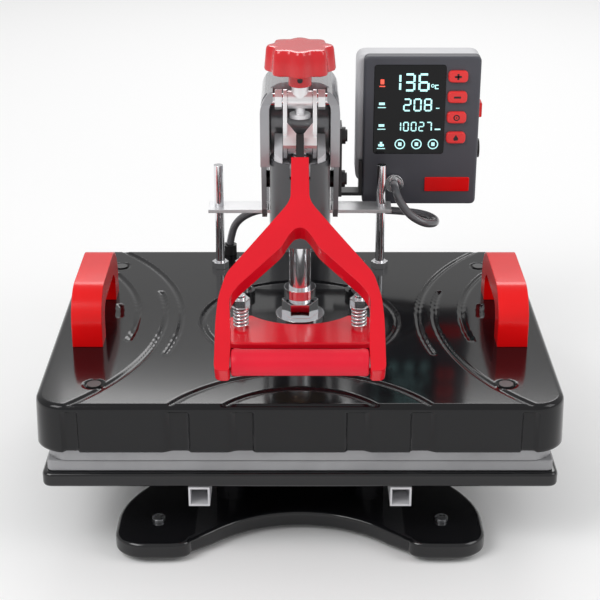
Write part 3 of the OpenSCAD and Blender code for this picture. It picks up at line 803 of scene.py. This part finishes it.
def digit(symbol, cx, cz, width, height):
    """Outlines of the lit segments of one seven-segment digit."""
    t = height * 0.115
    w, q = width - t, height / 2 - t / 2
    spots = {"a": (0, q, w * 0.82, t), "g": (0, 0, w * 0.82, t),
             "d": (0, -q, w * 0.82, t), "f": (-w / 2, q / 2, t, q * 0.84),
             "b": (w / 2, q / 2, t, q * 0.84),
             "e": (-w / 2, -q / 2, t, q * 0.84),
             "c": (w / 2, -q / 2, t, q * 0.84)}
    return [bar(cx + spots[s][0], cz + spots[s][1], spots[s][2], spots[s][3])
            for s in SEGMENTS[symbol]]


def strips(name, outlines, finish, y0, y1, body):
    parts = [extruded(o, y0, y1, upright) for o in outlines]
    piece = add_mesh(name, *joined(parts), finish, body)
    return piece


def ring(cx, cz, r, t, steps=24):
    """A ring as a row of four-sided pieces."""
    out = []
    for i in range(steps):
        a0, a1 = (2 * math.pi * k / steps for k in (i, i + 1))
        out.append([(cx + q * math.cos(a), cz + q * math.sin(a))
                    for q, a in ((r - t, a0), (r, a0), (r, a1), (r - t, a1))])
    return out


def display():
    cx = (SCREEN_LO.x + SCREEN_HI.x) / 2
    cz = (SCREEN_LO.z + SCREEN_HI.z) / 2
    lit, red = [], []
    # (digits, right edge, height of the row, digit width, digit height, pitch)
    rows = [("136", 16.7, 24.5, 9.6, 16, 12.2), ("208", 19.5, 4.5, 7, 11.5, 9),
            ("10027", 20, -15, 5, 8.6, 6.7)]
    for text, right, row_z, w, h, pitch in rows:
        for i, symbol in enumerate(reversed(text)):
            lit += digit(symbol, cx + mm(right - w / 2 - i * pitch),
                         cz + mm(row_z), mm(w), mm(h))
    # Unit marks, row icons and the three round program icons
    lit += ring(cx + mm(19.5), cz + mm(21.5), mm(1.5), mm(0.6), 14)
    lit += [bar(cx + mm(23), cz + mm(19), mm(3), mm(0.8)),
            bar(cx + mm(23), cz + mm(22), mm(3), mm(0.8)),
            bar(cx + mm(21.8), cz + mm(20.5), mm(0.8), mm(3)),
            bar(cx + mm(24.5), cz + mm(1.5), mm(3), mm(0.8)),
            bar(cx + mm(25), cz + mm(-17.5), mm(5), mm(1.2))]
    for z in (5.5, -14.0):
        lit += [bar(cx - mm(24), cz + mm(z), mm(5), mm(2.2)),
                bar(cx - mm(24), cz + mm(z - 3.4), mm(7), mm(0.8))]
    lit += [bar(cx - mm(24), cz - mm(31), mm(2), mm(4)),
            bar(cx - mm(24), cz - mm(32), mm(5), mm(2)),
            bar(cx - mm(24), cz - mm(35), mm(7), mm(0.8))]
    for x in (-7.5, 7, 21.5):
        lit += ring(cx + mm(x), cz - mm(31), mm(4.6), mm(0.9))
        lit += [bar(cx + mm(x), cz - mm(31), mm(3), mm(3.2))]
    red += [bar(cx - mm(24), cz + mm(25), mm(3.2), mm(4.2)),
            bar(cx - mm(24), cz + mm(21), mm(5), mm(0.9))]
    front, back = FACE_Y + mm(0.05), FACE_Y + mm(0.16)
    strips("display_digits", lit, CYAN, front, back, "arm")
    strips("display_alarm", red, GLOW_RED, front, back, "arm")


BUTTON_GAP = mm(2.5)  # clear depth behind a cap, for its travel


def button_mark(name, x, z):
    """Outlines of the sign on a button, centred at x, z."""
    dash = bar(x, z, mm(6), mm(1.8))
    if name == "button_plus":
        return [dash, bar(x, z, mm(1.8), mm(5.4))]
    if name == "button_minus":
        return [dash]
    if name == "button_set":
        return ring(x, z, mm(2.8), mm(1.1), 18) + [bar(x, z, mm(1.2), mm(1.2))]
    drop = [(0, 3), (-2.2, -0.6), (-1.6, -2.4), (1.6, -2.4), (2.2, -0.6)]
    return [[(x + mm(u), z + mm(v)) for u, v in drop]]


def buttons():
    for name in ("button_plus", "button_minus", "button_set", "button_mode"):
        lo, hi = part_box(name)
        cap = plate(name + "_cap", lo.x, hi.x, lo.z, hi.z, lo.y,
                    FACE_Y + FRONT_DEPTH - BUTTON_GAP, BUTTON_RED, name,
                    mm(4), mm(1))
        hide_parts(name)
        sign = button_mark(name, (lo.x + hi.x) / 2, (lo.z + hi.z) / 2)
        strips(name + "_mark", sign, SATIN_BLACK, lo.y - mm(0.02),
               lo.y + mm(0.2), name)


box_shells()
screen()
badge()
display()
buttons()

# ----------------------------------------------------------- heater lead

LEAD_ROUTE = to_m([
    (83, 127, 207), (83.5, 112, 205.5), (87.5, 100, 199), (96, 92.5, 190),
    (107.5, 93, 183), (117, 101.5, 179.3), (119, 114, 178),
    (112, 125.5, 178), (98, 133, 178), (70, 139, 178), (40, 142, 178),
    (0, 143, 178), (-30, 140.5, 178), (-48, 140.5, 172.5), (-59, 143, 161),
    (-64, 146, 142)])
LEAD_RADIUS = mm(3.5)


def catmull(points, steps):
    """A smooth curve through the points."""
    points = [Vector(p) for p in points]
    last = len(points) - 1
    out = []
    for i in range(last):
        a, b = points[max(i - 1, 0)], points[i]
        c, d = points[i + 1], points[min(i + 2, last)]
        for k in range(steps):
            t = k / steps
            out.append(0.5 * (2 * b + (c - a) * t
                              + (2 * a - 5 * b + 4 * c - d) * t * t
                              + (3 * b - a - 3 * c + d) * t ** 3))
    return [tuple(p) for p in out + [points[last]]]


def heater_lead():
    """The lead runs from the box, on the arm, to the platen along a curved route,
    as one fixed mesh that joins no body.
    """
    route = catmull(LEAD_ROUTE, 8)
    sides = 16
    up = Vector((0.2, 0.6, 0.8))
    verts, faces = [], []
    for i, point in enumerate(route):
        before, after = route[max(i - 1, 0)], route[min(i + 1, len(route) - 1)]
        tangent = (Vector(after) - Vector(before)).normalized()
        u = tangent.cross(up).normalized()
        v = tangent.cross(u)
        for k in range(sides):
            a = 2 * math.pi * k / sides
            verts.append(tuple(Vector(point) + LEAD_RADIUS * (
                math.cos(a) * u + math.sin(a) * v)))
    for i in range(len(route) - 1):
        for k in range(sides):
            k2 = (k + 1) % sides
            faces.append((i * sides + k, (i + 1) * sides + k,
                          (i + 1) * sides + k2, i * sides + k2))
    faces.append(tuple(range(sides)))
    faces.append(tuple((len(route) - 1) * sides + k
                       for k in range(sides))[::-1])
    mesh = bpy.data.meshes.new("heater_cable")
    mesh.from_pydata(verts, [], faces)
    face_outward(mesh)
    mesh.shade_smooth()
    mesh.materials.append(SHEATH)
    piece = bpy.data.objects.new("heater_cable", mesh)
    bpy.context.scene.collection.objects.link(piece)
    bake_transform(piece)
    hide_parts("heater_lead")


heater_lead()

# ---------------------------------------------------------------- studio


def studio_floor():
    size = 6.0
    mesh = bpy.data.meshes.new("floor")
    mesh.from_pydata([(-size, -size, 0), (size, -size, 0), (size, size, 0),
                      (-size, size, 0)], [], [(0, 1, 2, 3)])
    floor = bpy.data.objects.new("floor", mesh)
    paper = Nodes("floor_paper")
    paper.shader.inputs["Base Color"].default_value = (0.93, 0.93, 0.93, 1.0)
    paper.shader.inputs["Roughness"].default_value = 0.9
    mesh.materials.append(paper.material)
    bpy.context.scene.collection.objects.link(floor)


def soft_light(name, place, aim, size, power):
    data = bpy.data.lights.new(name, "AREA")
    data.shape = "RECTANGLE"
    data.size, data.size_y = size
    data.energy = power
    light = bpy.data.objects.new(name, data)
    light.location = place
    light.rotation_euler = (Vector(aim) - Vector(place)).to_track_quat(
        "-Z", "Y").to_euler()
    bpy.context.scene.collection.objects.link(light)


studio_floor()
world = bpy.data.worlds.new("studio")
world.use_nodes = True
world.node_tree.nodes["Background"].inputs["Color"].default_value = (
    1.0, 1.0, 1.0, 1.0)
world.node_tree.nodes["Background"].inputs["Strength"].default_value = 0.62
bpy.context.scene.world = world
soft_light("key", (-1.1, -1.0, 1.6), (0, 0, 0.15), (1.0, 1.0), 17.0)
soft_light("fill", (1.5, -0.6, 1.2), (0, 0, 0.2), (0.8, 1.2), 8.0)
soft_light("back", (0.2, 1.8, 1.5), (0, 0, 0.2), (1.6, 0.6), 12.0)
bpy.context.scene.view_settings.view_transform = "Standard"
